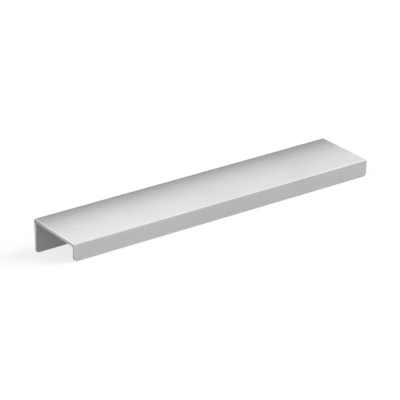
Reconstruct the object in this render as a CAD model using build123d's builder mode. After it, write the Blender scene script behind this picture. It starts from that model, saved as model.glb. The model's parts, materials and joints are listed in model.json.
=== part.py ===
"""Edge pull for a cabinet door or drawer front, in millimetres.

One cut length of aluminium section. The plate lies on the edge of the cabinet front, the deep flange
behind it is screwed to the back of that front, and the shallow lip before it is the finger grip.
Lying unfastened on a level floor it leans forward until lip and flange both touch, and it is modelled so.

X runs along the pull, Y from the lip to the flange and Z up. The origin is on the floor, under the
middle of the pull.
"""
from build123d import *

import os
from math import atan2, cos, hypot, sin

# Section, measured square to the plate
depth = 40.0  # lip's face to flange's back
flange_height = 20.0  # plate's top to flange's lower edge
lip_height = 10.0  # plate's top to lip's lower edge
wall = 2.0
flange_tip = 1.0  # flange's thickness at its lower edge, to which its back tapers
outer_bend_radius = 1.0
inner_bend_radius = 1.0

# Cut length and the finish of its edges
length = 200.0
corner_radius = 2.0  # lower corners of flange and lip
edge_radius = 0.4  # all sharp edges of the cut and milled outline

# Countersunk holes for the screws that hold the flange
screw_spacing = 160.0
screw_drop = 11.0  # plate's top to screw axis
screw_hole_diameter = 4.2
countersink_diameter = 7.0
countersink_angle = 90.0

# The lean at rest puts the front lower edges of lip and flange on the floor
lean = atan2(flange_height - lip_height, depth - wall)
across = Vector(0, cos(lean), sin(lean))
upward = Vector(0, -sin(lean), cos(lean))

# Slope of the flange's back, and the middle of the rounding at its lower edge
taper = (wall - flange_tip) / flange_height
foot_across = depth - taper * (flange_height - edge_radius) - edge_radius * hypot(1, taper)
foot_down = flange_height - edge_radius

# Reach of the leaning section from its front top corner, before that corner is bent round
front_reach = outer_bend_radius * (cos(lean) + sin(lean) - 1)
back_reach = foot_across * cos(lean) + foot_down * sin(lean) + edge_radius
floor_drop = (lip_height - edge_radius) * cos(lean) + edge_radius * (1 - sin(lean))
front_top_corner = Vector(-length / 2, -(front_reach + back_reach) / 2, floor_drop)

section_plane = Plane(front_top_corner, x_dir=across, z_dir=(1, 0, 0))

# The countersinks start level with the thickest place on their rims
rim_across = depth - taper * (screw_drop - countersink_diameter / 2)
flange_back_plane = Plane(
    front_top_corner + Vector(length / 2, 0, 0) + across * rim_across - upward * screw_drop,
    x_dir=(1, 0, 0),
    z_dir=across,
)


def below_plate(edge: Edge) -> bool:
    """Tells whether an edge lies on the lip or the flange, clear of the plate."""
    return (edge.center() - front_top_corner).dot(upward) < -2 * wall


with BuildPart() as edge_pull:
    # Channel section, drawn square and then bent round at its two folds
    with BuildSketch(section_plane) as section:
        with BuildLine():
            Polyline(
                (0, 0),
                (0, -lip_height),
                (wall, -lip_height),
                (wall, -wall),
                (depth - wall, -wall),
                (depth - wall, -flange_height),
                (depth - wall + flange_tip, -flange_height),
                (depth, 0),
                close=True,
            )
        make_face()
        fillet(section.vertices().group_by(Axis.Y)[-2], inner_bend_radius)
        fillet(section.vertices().group_by(Axis.Y)[-1], outer_bend_radius)
    extrude(amount=length)

    # Rounded lower corners at both ends of flange and lip
    thickness_axis = Axis((0, 0, 0), across)
    lower_corners = edge_pull.edges().filter_by(thickness_axis).filter_by(below_plate)
    fillet(lower_corners, corner_radius)

    # Softened outline: every edge but the smooth ones, which lie along the folds and across the corners
    fold_lines = edge_pull.edges().filter_by(Axis.X).group_by(SortBy.LENGTH)[-1]
    corner_lines = edge_pull.edges().filter_by(thickness_axis).filter_by(below_plate)
    fillet(edge_pull.edges() - fold_lines - corner_lines, edge_radius)

    # Screw holes, countersunk from the back so that the heads lie flush
    with Locations(flange_back_plane):
        with GridLocations(screw_spacing, 0, 2, 1):
            CounterSinkHole(
                screw_hole_diameter / 2,
                countersink_diameter / 2,
                depth=2 * wall,
                counter_sink_angle=countersink_angle,
            )

edge_pull.part.label = "edge_pull"

os.makedirs("parts", exist_ok=True)
export_step(edge_pull.part, "parts/edge_pull.step")
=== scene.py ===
"""Edge pull of satin anodised aluminium, lying on a white studio floor.

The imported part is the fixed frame. This script gives it its finish, and adds the floor, the soft studio
light and a camera that stands where the reference view was taken from. Lengths are in metres, unless a
name says millimetres.
"""

import json
import logging
from dataclasses import dataclass
from enum import Enum
from math import cos, pi, radians, sin
from typing import Any

import bpy
from mathutils import Matrix, Vector


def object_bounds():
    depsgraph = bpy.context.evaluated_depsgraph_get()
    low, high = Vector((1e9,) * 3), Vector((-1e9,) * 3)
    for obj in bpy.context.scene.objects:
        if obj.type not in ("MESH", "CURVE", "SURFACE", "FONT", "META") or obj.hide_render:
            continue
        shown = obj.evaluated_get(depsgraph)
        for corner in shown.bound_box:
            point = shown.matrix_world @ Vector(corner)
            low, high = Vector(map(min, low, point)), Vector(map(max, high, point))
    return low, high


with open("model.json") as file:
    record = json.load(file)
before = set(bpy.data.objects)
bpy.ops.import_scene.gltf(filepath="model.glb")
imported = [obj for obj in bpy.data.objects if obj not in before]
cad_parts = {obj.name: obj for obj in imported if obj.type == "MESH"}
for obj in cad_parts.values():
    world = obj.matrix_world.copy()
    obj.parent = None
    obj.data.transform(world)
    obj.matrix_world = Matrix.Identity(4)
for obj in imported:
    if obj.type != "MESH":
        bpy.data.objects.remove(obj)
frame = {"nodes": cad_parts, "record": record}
cad_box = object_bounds()

LOG = logging.getLogger("edge_pull")
MM = 0.001

# Nearly all values of a noise pattern lie between these two
NOISE_LOW = 0.3
NOISE_HIGH = 0.7


def linear(colour: str) -> tuple[float, float, float, float]:
    """Turns an sRGB hex colour into the linear colour that shaders work in.

    Args:
        colour: Colour as "#RRGGBB".

    Returns:
        Linear red, green, blue and an alpha of 1.
    """
    channels = [int(colour[i:i + 2], 16) / 255 for i in (1, 3, 5)]
    bent = [c / 12.92 if c <= 0.04045 else ((c + 0.055) / 1.055) ** 2.4 for c in channels]
    return (*bent, 1.0)


def add_node(tree: bpy.types.NodeTree, kind: str, settings: dict[str, Any] | None = None,
             **sockets: Any) -> bpy.types.Node:
    """Adds one node to a tree, with its settings and its sockets filled or linked.

    Args:
        tree: Node tree that gets the node.
        kind: Blender's name of the node type.
        settings: Properties of the node itself.
        **sockets: Input sockets, spaces written as underscores, each with a value or an output to link.
            A name of the form in_0 means the socket at that place in the list.

    Returns:
        The new node.
    """
    node = tree.nodes.new(kind)
    for name, value in (settings or {}).items():
        setattr(node, name, value)
    for name, value in sockets.items():
        key = int(name[3:]) if name.startswith("in_") else name.replace("_", " ")
        if isinstance(value, bpy.types.NodeSocket):
            tree.links.new(value, node.inputs[key])
        else:
            node.inputs[key].default_value = value
    return node


def mount(name: str) -> dict[str, Any]:
    """Gives one mount of the part's record by its name."""
    return next(m for m in frame["record"]["mounts"] if m["name"] == name)


class BackdropRay(Enum):
    """Kinds of ray that see the white backdrop instead of the studio's light level."""

    CAMERA = "Is Camera Ray"
    GLOSSY = "Is Glossy Ray"
    TRANSMISSION = "Is Transmission Ray"


def backdrop_share(tree: bpy.types.NodeTree) -> bpy.types.NodeSocket:
    """Gives the output that is 1 for rays that see the backdrop and 0 for rays that carry light.

    Args:
        tree: Node tree of the floor or the world.

    Returns:
        Output socket of the last node.
    """
    path = add_node(tree, "ShaderNodeLightPath")
    share = path.outputs[BackdropRay.CAMERA.value]
    for ray in (BackdropRay.GLOSSY, BackdropRay.TRANSMISSION):
        share = add_node(tree, "ShaderNodeMath", {"operation": "MAXIMUM"}, in_0=share,
                         in_1=path.outputs[ray.value]).outputs[0]
    return share


@dataclass(frozen=True)
class Countersinks:
    """The two countersunk screw holes in the flange, opening to the back."""

    mount_name: str = "screw_holes"
    rim_radius_mm: float = 3.5
    depth_mm: float = 1.4
    rim_height_mm: float = 1.625  # above the flange's inner face

    # The cutter's finish fades out over these lengths, outside the rim and past the cone's narrow end
    rim_blend_mm: float = 0.05
    depth_blend_mm: float = 0.1

    def centre_mm(self, plate: Matrix) -> Vector:
        """Finds the right-hand hole on the flange's inner face.

        Args:
            plate: Placement of the plate's axes.

        Returns:
            Its place in the plate's axes, in millimetres.
        """
        holes = mount(self.mount_name)
        middle = plate.inverted() @ Vector(holes["pos_m"]) / MM
        return middle + Vector((holes["dims"]["pcd_mm"] / 2, 0, 0))


@dataclass(frozen=True)
class SatinAnodisedAluminium:
    """Aluminium, extruded, etched matt and anodised clear.

    To the eye it is a neutral silver with a broad soft sheen. Die lines run along the length, the etch
    leaves a fine even grain, and the oxide film is a little deeper in some places than in others. The sawn
    ends keep the arcs of the blade, and the countersinks keep the cutter's rings. The edges round the sawn
    ends are burnished and smoother, and their lighter colour is a painted highlight.
    """

    name: str = "satin_anodised_aluminium"
    roughness: float = 0.2
    roughness_spread: float = 0.02  # either way, with the grain

    # The film's depth drifts over a few centimetres, and half of its unevenness follows the die lines
    thin_film: str = "#BEBEBE"
    deep_film: str = "#B4B4B4"
    cloud_mm: float = 40.0
    die_line_share: float = 0.5

    # The edges round the sawn ends are brushed free of burrs, which burnishes them a little, and their
    # lighter colour is a painted highlight
    burnish_and_highlight_colour: str = "#C8C8C8"
    burnished_roughness: float = 0.17
    burnished_highlight_mm: float = 0.45
    burnished_highlight_blend_mm: float = 0.09

    # Die lines lie about 0.1 mm apart and hold for decimetres, and are drawn 0.8 mm apart to show
    die_line_mm: float = 0.8
    die_run_mm: float = 240.0
    die_depth_mm: float = 0.008

    # The etch pits are about 0.05 mm wide, and are drawn 0.6 mm wide to show
    grain_mm: float = 0.6
    grain_depth_mm: float = 0.004

    # A 300 mm blade leaves arcs about 0.1 mm apart, and they are drawn 0.4 mm apart to show. Its axis is
    # in the direction given, in the plate's axes
    blade_radius_mm: float = 150.0
    blade_direction: tuple[float, float, float] = (0, -0.6, 0.8)
    saw_mark_mm: float = 0.4
    saw_depth_mm: float = 0.006
    sawn_roughness: float = 0.27

    # A face counts as sawn by how squarely it faces along the length: above the first of these in part,
    # and above the second wholly
    sawn_from: float = 0.8
    sawn_wholly: float = 0.97

    # The countersink cutter leaves rings about 0.1 mm apart, and they are drawn 0.35 mm apart to show
    ring_mm: float = 0.35
    ring_depth_mm: float = 0.006

    def place_mm(self, tree: bpy.types.NodeTree, plate: Matrix) -> bpy.types.NodeSocket:
        """Adds the coordinates that all patterns follow.

        Args:
            tree: Node tree of the material.
            plate: Placement of the plate's axes.

        Returns:
            Output with the place in the plate's axes, in millimetres.
        """
        where = add_node(tree, "ShaderNodeTexCoord").outputs["Object"]
        return add_node(tree, "ShaderNodeMapping", {"vector_type": "TEXTURE"}, Vector=where,
                        Location=plate.translation, Rotation=plate.to_euler(),
                        Scale=(MM, MM, MM)).outputs[0]

    def die_lines(self, tree: bpy.types.NodeTree, place: bpy.types.NodeSocket) -> bpy.types.NodeSocket:
        """Adds the lines that the die leaves along the length.

        Args:
            tree: Node tree of the material.
            place: Coordinates in millimetres.

        Returns:
            Output around 0.5, higher on a ridge.
        """
        drawn_out = add_node(tree, "ShaderNodeVectorMath", {"operation": "MULTIPLY"}, in_0=place,
                             in_1=(self.die_line_mm / self.die_run_mm, 1, 1))
        return add_node(tree, "ShaderNodeTexNoise", Vector=drawn_out.outputs[0], Scale=1 / self.die_line_mm,
                        Detail=2.0, Roughness=0.6).outputs[0]

    def saw_marks(self, tree: bpy.types.NodeTree,
                  place: bpy.types.NodeSocket) -> tuple[bpy.types.NodeSocket, bpy.types.NodeSocket]:
        """Adds the arcs that the blade leaves on the two cut ends.

        Args:
            tree: Node tree of the material.
            place: Coordinates in millimetres.

        Returns:
            Output around 0.5, higher on a ridge, and output that is 1 on the cut ends.
        """
        across = add_node(tree, "ShaderNodeVectorMath", {"operation": "MULTIPLY"}, in_0=place,
                          in_1=(0, 1, 1))
        reach = add_node(tree, "ShaderNodeVectorMath", {"operation": "DISTANCE"}, in_0=across.outputs[0],
                         in_1=Vector(self.blade_direction) * self.blade_radius_mm)
        turns = add_node(tree, "ShaderNodeMath", {"operation": "DIVIDE"}, in_0=reach.outputs["Value"],
                         in_1=self.saw_mark_mm)
        marks = add_node(tree, "ShaderNodeTexNoise", {"noise_dimensions": "1D"}, W=turns.outputs[0],
                         Scale=1.0, Detail=1.0)
        facing = add_node(tree, "ShaderNodeTexCoord").outputs["Normal"]
        along = add_node(tree, "ShaderNodeSeparateXYZ", in_0=facing).outputs[0]
        endwise = add_node(tree, "ShaderNodeMath", {"operation": "ABSOLUTE"}, in_0=along)
        ends = add_node(tree, "ShaderNodeMapRange", Value=endwise.outputs[0], From_Min=self.sawn_from,
                        From_Max=self.sawn_wholly)
        return marks.outputs[0], ends.outputs[0]

    def burnished_highlight_edges(self, tree: bpy.types.NodeTree, place: bpy.types.NodeSocket,
                        ends: bpy.types.NodeSocket) -> bpy.types.NodeSocket:
        """Adds the mask of the softened edges round the two cut ends, which are burnished and get a painted
        highlight.

        Args:
            tree: Node tree of the material.
            place: Coordinates in millimetres.
            ends: Output that is 1 on the cut ends.

        Returns:
            Output that is 1 on the softened edges.
        """
        half_length_mm = cad_box[1][0] / MM
        start_mm = half_length_mm - self.burnished_highlight_mm
        along = add_node(tree, "ShaderNodeSeparateXYZ", in_0=place).outputs[0]
        outward = add_node(tree, "ShaderNodeMath", {"operation": "ABSOLUTE"}, in_0=along)
        last = add_node(tree, "ShaderNodeMapRange", Value=outward.outputs[0], From_Min=start_mm,
                        From_Max=start_mm + self.burnished_highlight_blend_mm)
        return add_node(tree, "ShaderNodeMath", {"operation": "SUBTRACT", "use_clamp": True},
                        in_0=last.outputs[0], in_1=ends).outputs[0]

    def cutter_rings(self, tree: bpy.types.NodeTree, place: bpy.types.NodeSocket, plate: Matrix,
                     sinks: Countersinks) -> tuple[bpy.types.NodeSocket, bpy.types.NodeSocket]:
        """Adds the rings that the cutter leaves in the countersinks.

        Args:
            tree: Node tree of the material.
            place: Coordinates in millimetres.
            plate: Placement of the plate's axes.
            sinks: The countersunk holes.

        Returns:
            Output around 0.5, higher on a ridge, and output that is 1 in the countersinks.
        """
        centre = sinks.centre_mm(plate)
        cone_end = centre.y + sinks.rim_height_mm - sinks.depth_mm
        folded = add_node(tree, "ShaderNodeVectorMath", {"operation": "ABSOLUTE"}, in_0=place)
        level = add_node(tree, "ShaderNodeVectorMath", {"operation": "MULTIPLY"}, in_0=folded.outputs[0],
                         in_1=(1, 0, 1))
        radius = add_node(tree, "ShaderNodeVectorMath", {"operation": "DISTANCE"}, in_0=level.outputs[0],
                          in_1=(centre.x, 0, abs(centre.z))).outputs["Value"]
        turns = add_node(tree, "ShaderNodeMath", {"operation": "DIVIDE"}, in_0=radius, in_1=self.ring_mm)
        rings = add_node(tree, "ShaderNodeTexNoise", {"noise_dimensions": "1D"}, W=turns.outputs[0],
                         Scale=1.0, Detail=1.0)
        back = add_node(tree, "ShaderNodeSeparateXYZ", in_0=place).outputs[1]
        behind = add_node(tree, "ShaderNodeMapRange", Value=back, From_Min=cone_end - sinks.depth_blend_mm,
                          From_Max=cone_end)
        within = add_node(tree, "ShaderNodeMapRange", Value=radius, From_Min=sinks.rim_radius_mm,
                          From_Max=sinks.rim_radius_mm + sinks.rim_blend_mm, To_Min=1.0, To_Max=0.0)
        sunk = add_node(tree, "ShaderNodeMath", {"operation": "MULTIPLY"}, in_0=behind.outputs[0],
                        in_1=within.outputs[0])
        return rings.outputs[0], sunk.outputs[0]

    def material(self, plate: Matrix, sinks: Countersinks) -> bpy.types.Material:
        """Builds the finish.

        Args:
            plate: Placement of the plate's axes.
            sinks: The countersunk holes.

        Returns:
            The material.
        """
        material = bpy.data.materials.new(self.name)
        material.use_nodes = True
        tree = material.node_tree
        tree.nodes.clear()
        place = self.place_mm(tree, plate)
        lines = self.die_lines(tree, place)
        marks, ends = self.saw_marks(tree, place)
        edges = self.burnished_highlight_edges(tree, place, ends)
        rings, sunk = self.cutter_rings(tree, place, plate, sinks)
        grain = add_node(tree, "ShaderNodeTexNoise", Vector=place, Scale=1 / self.grain_mm,
                         Detail=1.0).outputs[0]
        cloud = add_node(tree, "ShaderNodeTexNoise", Vector=place, Scale=1 / self.cloud_mm,
                         Detail=2.0).outputs[0]

        # Colour follows the depth of the film, and the edges round the ends are lighter: a painted
        # highlight on the burnished edges
        mottle = add_node(tree, "ShaderNodeMix", in_0=self.die_line_share, in_2=cloud, in_3=lines)
        film = add_node(tree, "ShaderNodeMapRange", Value=mottle.outputs[0], From_Min=NOISE_LOW,
                        From_Max=NOISE_HIGH)
        etched_colour = add_node(tree, "ShaderNodeMix", {"data_type": "RGBA"}, in_0=film.outputs[0],
                                 in_6=linear(self.thin_film), in_7=linear(self.deep_film))
        colour = add_node(tree, "ShaderNodeMix", {"data_type": "RGBA"}, in_0=edges,
                          in_6=etched_colour.outputs[2], in_7=linear(self.burnish_and_highlight_colour))

        # Sheen varies a little with the grain, the sawn ends are duller and their edges are smoother
        etched = add_node(tree, "ShaderNodeMapRange", Value=grain, From_Min=NOISE_LOW, From_Max=NOISE_HIGH,
                          To_Min=self.roughness - self.roughness_spread,
                          To_Max=self.roughness + self.roughness_spread)
        dulled = add_node(tree, "ShaderNodeMix", in_0=ends, in_2=etched.outputs[0],
                          in_3=self.sawn_roughness)
        sheen = add_node(tree, "ShaderNodeMix", in_0=edges, in_2=dulled.outputs[0],
                         in_3=self.burnished_roughness)

        # Heights in millimetres: saw marks and cutter rings take the place of the die lines, and the grain
        # lies over all of them
        depths_mm = ((lines, self.die_depth_mm), (marks, self.saw_depth_mm), (rings, self.ring_depth_mm))
        drawn, sawn, turned = (
            add_node(tree, "ShaderNodeMath", {"operation": "MULTIPLY"}, in_0=pattern,
                     in_1=depth_mm).outputs[0]
            for pattern, depth_mm in depths_mm
        )
        cut = add_node(tree, "ShaderNodeMix", in_0=ends, in_2=drawn, in_3=sawn)
        worked = add_node(tree, "ShaderNodeMix", in_0=sunk, in_2=cut.outputs[0], in_3=turned)
        height = add_node(tree, "ShaderNodeMath", {"operation": "MULTIPLY_ADD"}, in_0=grain,
                          in_1=self.grain_depth_mm, in_2=worked.outputs[0])
        relief = add_node(tree, "ShaderNodeBump", Strength=1.0, Distance=MM, Height=height.outputs[0])
        shader = add_node(tree, "ShaderNodeBsdfPrincipled", Base_Color=colour.outputs[2], Metallic=1.0,
                          Roughness=sheen.outputs[0], Normal=relief.outputs[0])
        add_node(tree, "ShaderNodeOutputMaterial", Surface=shader.outputs["BSDF"])
        return material


@dataclass
class EdgePull:
    """The pull itself: one length of channel section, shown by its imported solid."""

    node: str = "edge_pull"
    slot: str = "anodised_aluminium"
    seat: str = "edge_seat"
    wall: float = 2.0 * MM
    sinks: Countersinks = Countersinks()
    finish: SatinAnodisedAluminium = SatinAnodisedAluminium()

    def plate_axes(self) -> Matrix:
        """Finds where the top of the plate is and how it leans.

        Returns:
            Matrix that places the plate's own axes: along, from lip to flange, and out of its top.
        """
        underside = mount(self.seat)
        upward = -Vector(underside["axis"])
        along = Vector((1, 0, 0))
        axes = Matrix((along, upward.cross(along), upward)).transposed().to_4x4()
        axes.translation = Vector(underside["pos_m"]) + upward * self.wall
        return axes

    def dress(self) -> bpy.types.Object:
        """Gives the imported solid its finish.

        Returns:
            The dressed object.
        """
        pull = frame["nodes"][self.node]
        pull.data.materials.clear()
        pull.data.materials.append(self.finish.material(self.plate_axes(), self.sinks))
        return pull


@dataclass(frozen=True)
class StudioCard:
    """A flat glowing sheet, standing for lit silk or dark felt, that only the metal's reflections see.

    The edges are the Y and Z of its two long edges, the span is the X of its left and right ends, and the
    levels are its brightness at those ends.
    """

    name: str
    edges: tuple[tuple[float, float], tuple[float, float]]
    span: tuple[float, float]
    levels: tuple[float, float]

    def material(self) -> bpy.types.Material:
        """Builds the glowing surface, whose brightness changes evenly from end to end.

        Returns:
            The material.
        """
        material = bpy.data.materials.new(self.name)
        material.use_nodes = True
        tree = material.node_tree
        tree.nodes.clear()
        where = add_node(tree, "ShaderNodeTexCoord").outputs["Object"]
        along = add_node(tree, "ShaderNodeSeparateXYZ", in_0=where).outputs[0]
        level = add_node(tree, "ShaderNodeMapRange", Value=along, From_Min=self.span[0],
                         From_Max=self.span[1], To_Min=self.levels[0], To_Max=self.levels[1])
        glow = add_node(tree, "ShaderNodeEmission", Strength=level.outputs[0])
        add_node(tree, "ShaderNodeOutputMaterial", Surface=glow.outputs[0])
        return material

    def build(self) -> bpy.types.Object:
        """Hangs the card.

        Returns:
            The card.
        """
        corners = [(x, y, z) for y, z in self.edges for x in self.span]
        mesh = bpy.data.meshes.new(self.name)
        mesh.from_pydata(corners, [], [(0, 1, 3, 2)])
        mesh.materials.append(self.material())
        card = bpy.data.objects.new(self.name, mesh)
        card.visible_camera = False
        card.visible_diffuse = False
        card.visible_shadow = False
        bpy.context.scene.collection.objects.link(card)
        return card


@dataclass
class Studio:
    """White floor, white surroundings, one soft lamp, and the cards that shape the metal's reflections."""

    floor_side: float = 8.0
    floor_colour: str = "#E2E2E2"
    floor_lift: float = 0.25  # added light, for the rays that see the backdrop
    shadow_fade: float = 0.7  # how far the floor and its shadow are plain white to the camera
    surround_light: float = 0.5
    lamp_light: float = 0.5
    lamp_from: tuple[float, float, float] = (0.6, -0.6, 0.5)
    lamp_spread: float = radians(40)

    # The cards stand in one wall behind the pull, in bands that meet at these heights, and one is a roof
    wall_y: float = 0.085
    strip_foot: float = 0.058
    strip_top: float = 0.09
    upper_foot: float = 0.16
    roof_height: float = 0.35
    roof_front_y: float = -0.35

    # Left and right ends of the bands of silk, of the strip and of the felt behind the pull's two ends
    silk_span: tuple[float, float] = (-0.3, 0.5)
    strip_span: tuple[float, float] = (-0.165, 0.3)
    left_felt_span: tuple[float, float] = (-0.2, -0.125)
    right_felt_span: tuple[float, float] = (0.125, 0.23)

    # Brightness at the left and right ends
    wall_levels: tuple[float, float] = (1.85, 1.31)
    upper_levels: tuple[float, float] = (1.95, 1.68)
    roof_levels: tuple[float, float] = (1.3, 1.9)
    side_levels: tuple[float, float] = (2.5, 2.5)
    strip_levels: tuple[float, float] = (0.23, 0.23)
    felt_levels: tuple[float, float] = (0.15, 0.15)

    def cards(self) -> list[StudioCard]:
        """Lists the cards.

        The silk gives the plate its light front and the strip its grey back, in reflections only. The silk
        beside the strip lights the rounded edges of the left end, and the dimly glowing felt near the floor
        darkens the reflections in the sawn ends.

        Returns:
            The cards, not yet hung.
        """
        floor_line = (self.wall_y, 0.0)
        strip_foot = (self.wall_y, self.strip_foot)
        strip_top = (self.wall_y, self.strip_top)
        upper_foot = (self.wall_y, self.upper_foot)
        roof_back = (self.wall_y, self.roof_height)
        roof_front = (self.roof_front_y, self.roof_height)
        side_span = (self.silk_span[0], self.strip_span[0])
        return [
            StudioCard("silk_wall", (strip_top, upper_foot), self.silk_span, self.wall_levels),
            StudioCard("silk_upper", (upper_foot, roof_back), self.silk_span, self.upper_levels),
            StudioCard("silk_roof", (roof_back, roof_front), self.silk_span, self.roof_levels),
            StudioCard("silk_side", (strip_foot, strip_top), side_span, self.side_levels),
            StudioCard("felt_strip", (strip_foot, strip_top), self.strip_span, self.strip_levels),
            StudioCard("felt_left", (floor_line, strip_foot), self.left_felt_span, self.felt_levels),
            StudioCard("felt_right", (floor_line, strip_foot), self.right_felt_span, self.felt_levels),
        ]

    def build_floor(self) -> bpy.types.Object:
        """Lays the floor that the pull rests on.

        Returns:
            The floor.
        """
        half = self.floor_side / 2
        corners = [(-half, -half, 0), (half, -half, 0), (half, half, 0), (-half, half, 0)]
        mesh = bpy.data.meshes.new("floor")
        mesh.from_pydata(corners, [], [(0, 1, 2, 3)])
        floor = bpy.data.objects.new("floor", mesh)
        bpy.context.scene.collection.objects.link(floor)
        material = bpy.data.materials.new("matt_white_paper")
        material.use_nodes = True
        tree = material.node_tree
        tree.nodes.clear()
        paper = add_node(tree, "ShaderNodeBsdfDiffuse", Color=linear(self.floor_colour))
        lift = add_node(tree, "ShaderNodeMath", {"operation": "MULTIPLY"}, in_0=backdrop_share(tree),
                        in_1=self.floor_lift)
        glow = add_node(tree, "ShaderNodeEmission", Strength=lift.outputs[0])
        lit = add_node(tree, "ShaderNodeAddShader", in_0=paper.outputs[0], in_1=glow.outputs[0])
        seen = add_node(tree, "ShaderNodeLightPath").outputs[BackdropRay.CAMERA.value]
        fade = add_node(tree, "ShaderNodeMath", {"operation": "MULTIPLY"}, in_0=seen, in_1=self.shadow_fade)
        white = add_node(tree, "ShaderNodeEmission", Strength=1.0)
        faded = add_node(tree, "ShaderNodeMixShader", in_0=fade.outputs[0], in_1=lit.outputs[0],
                         in_2=white.outputs[0])
        add_node(tree, "ShaderNodeOutputMaterial", Surface=faded.outputs[0])
        mesh.materials.append(material)
        return floor

    def build_world(self) -> bpy.types.World:
        """Surrounds the scene with white, which gives half of the light.

        Returns:
            The world.
        """
        world = bpy.data.worlds.new("white_surroundings")
        bpy.context.scene.world = world
        world.use_nodes = True
        tree = world.node_tree
        tree.nodes.clear()
        level = add_node(tree, "ShaderNodeMapRange", Value=backdrop_share(tree), To_Min=self.surround_light)
        light = add_node(tree, "ShaderNodeBackground", Color=(1, 1, 1, 1), Strength=level.outputs[0])
        add_node(tree, "ShaderNodeOutputWorld", Surface=light.outputs[0])
        world.cycles.sampling_method = "NONE"  # lamp sampling would blend the two levels
        return world

    def build_lamp(self) -> bpy.types.Object:
        """Hangs the large soft lamp that gives the other half of the light.

        Returns:
            The lamp.
        """
        towards = Vector(self.lamp_from).normalized()
        data = bpy.data.lights.new("soft_lamp", "SUN")
        data.energy = self.lamp_light * pi / towards.z
        data.angle = self.lamp_spread
        lamp = bpy.data.objects.new("soft_lamp", data)
        lamp.rotation_euler = towards.to_track_quat("Z", "Y").to_euler()
        lamp.visible_camera = False
        lamp.visible_glossy = False
        bpy.context.scene.collection.objects.link(lamp)
        return lamp


@dataclass
class PhotoCamera:
    """Camera of the reference view, placed by angles from the level plate."""

    azimuth: float = radians(-36.748)
    elevation: float = radians(24.341)
    roll: float = radians(1.054)
    distance: float = 1149.608 * MM
    aim_right: float = -3.39 * MM
    aim_up: float = -6.538 * MM
    lens_mm: float = 186.626

    def build(self, plate: Matrix) -> bpy.types.Object:
        """Adds the camera and makes it the scene's own.

        Args:
            plate: Placement of the plate's axes.

        Returns:
            The camera.
        """
        back = Vector((sin(self.azimuth) * cos(self.elevation), -cos(self.azimuth) * cos(self.elevation),
                       sin(self.elevation)))
        level_right = Vector((cos(self.azimuth), sin(self.azimuth), 0))
        level_up = back.cross(level_right)
        right = level_right * cos(self.roll) + level_up * sin(self.roll)
        up = level_up * cos(self.roll) - level_right * sin(self.roll)
        placed = Matrix((right, up, back)).transposed().to_4x4()
        placed.translation = back * self.distance + right * self.aim_right + up * self.aim_up
        data = bpy.data.cameras.new("photo_camera")
        data.lens = self.lens_mm
        camera = bpy.data.objects.new("photo_camera", data)
        camera.matrix_world = plate @ placed
        bpy.context.scene.collection.objects.link(camera)
        bpy.context.scene.camera = camera
        return camera


def main() -> None:
    """Dresses the pull and builds the studio round it."""
    logging.basicConfig(level=logging.INFO, format="%(name)s: %(message)s")
    bpy.context.scene.view_settings.view_transform = "Standard"
    pull = EdgePull()
    LOG.info("dressed %s", pull.dress().name)
    studio = Studio()
    LOG.info("laid %s", studio.build_floor().name)
    LOG.info("surrounded by %s", studio.build_world().name)
    LOG.info("lit by %s", studio.build_lamp().name)
    for card in studio.cards():
        LOG.info("hung %s", card.build().name)
    LOG.info("seen by %s", PhotoCamera().build(pull.plate_axes()).name)


if __name__ == "__main__":
    main()
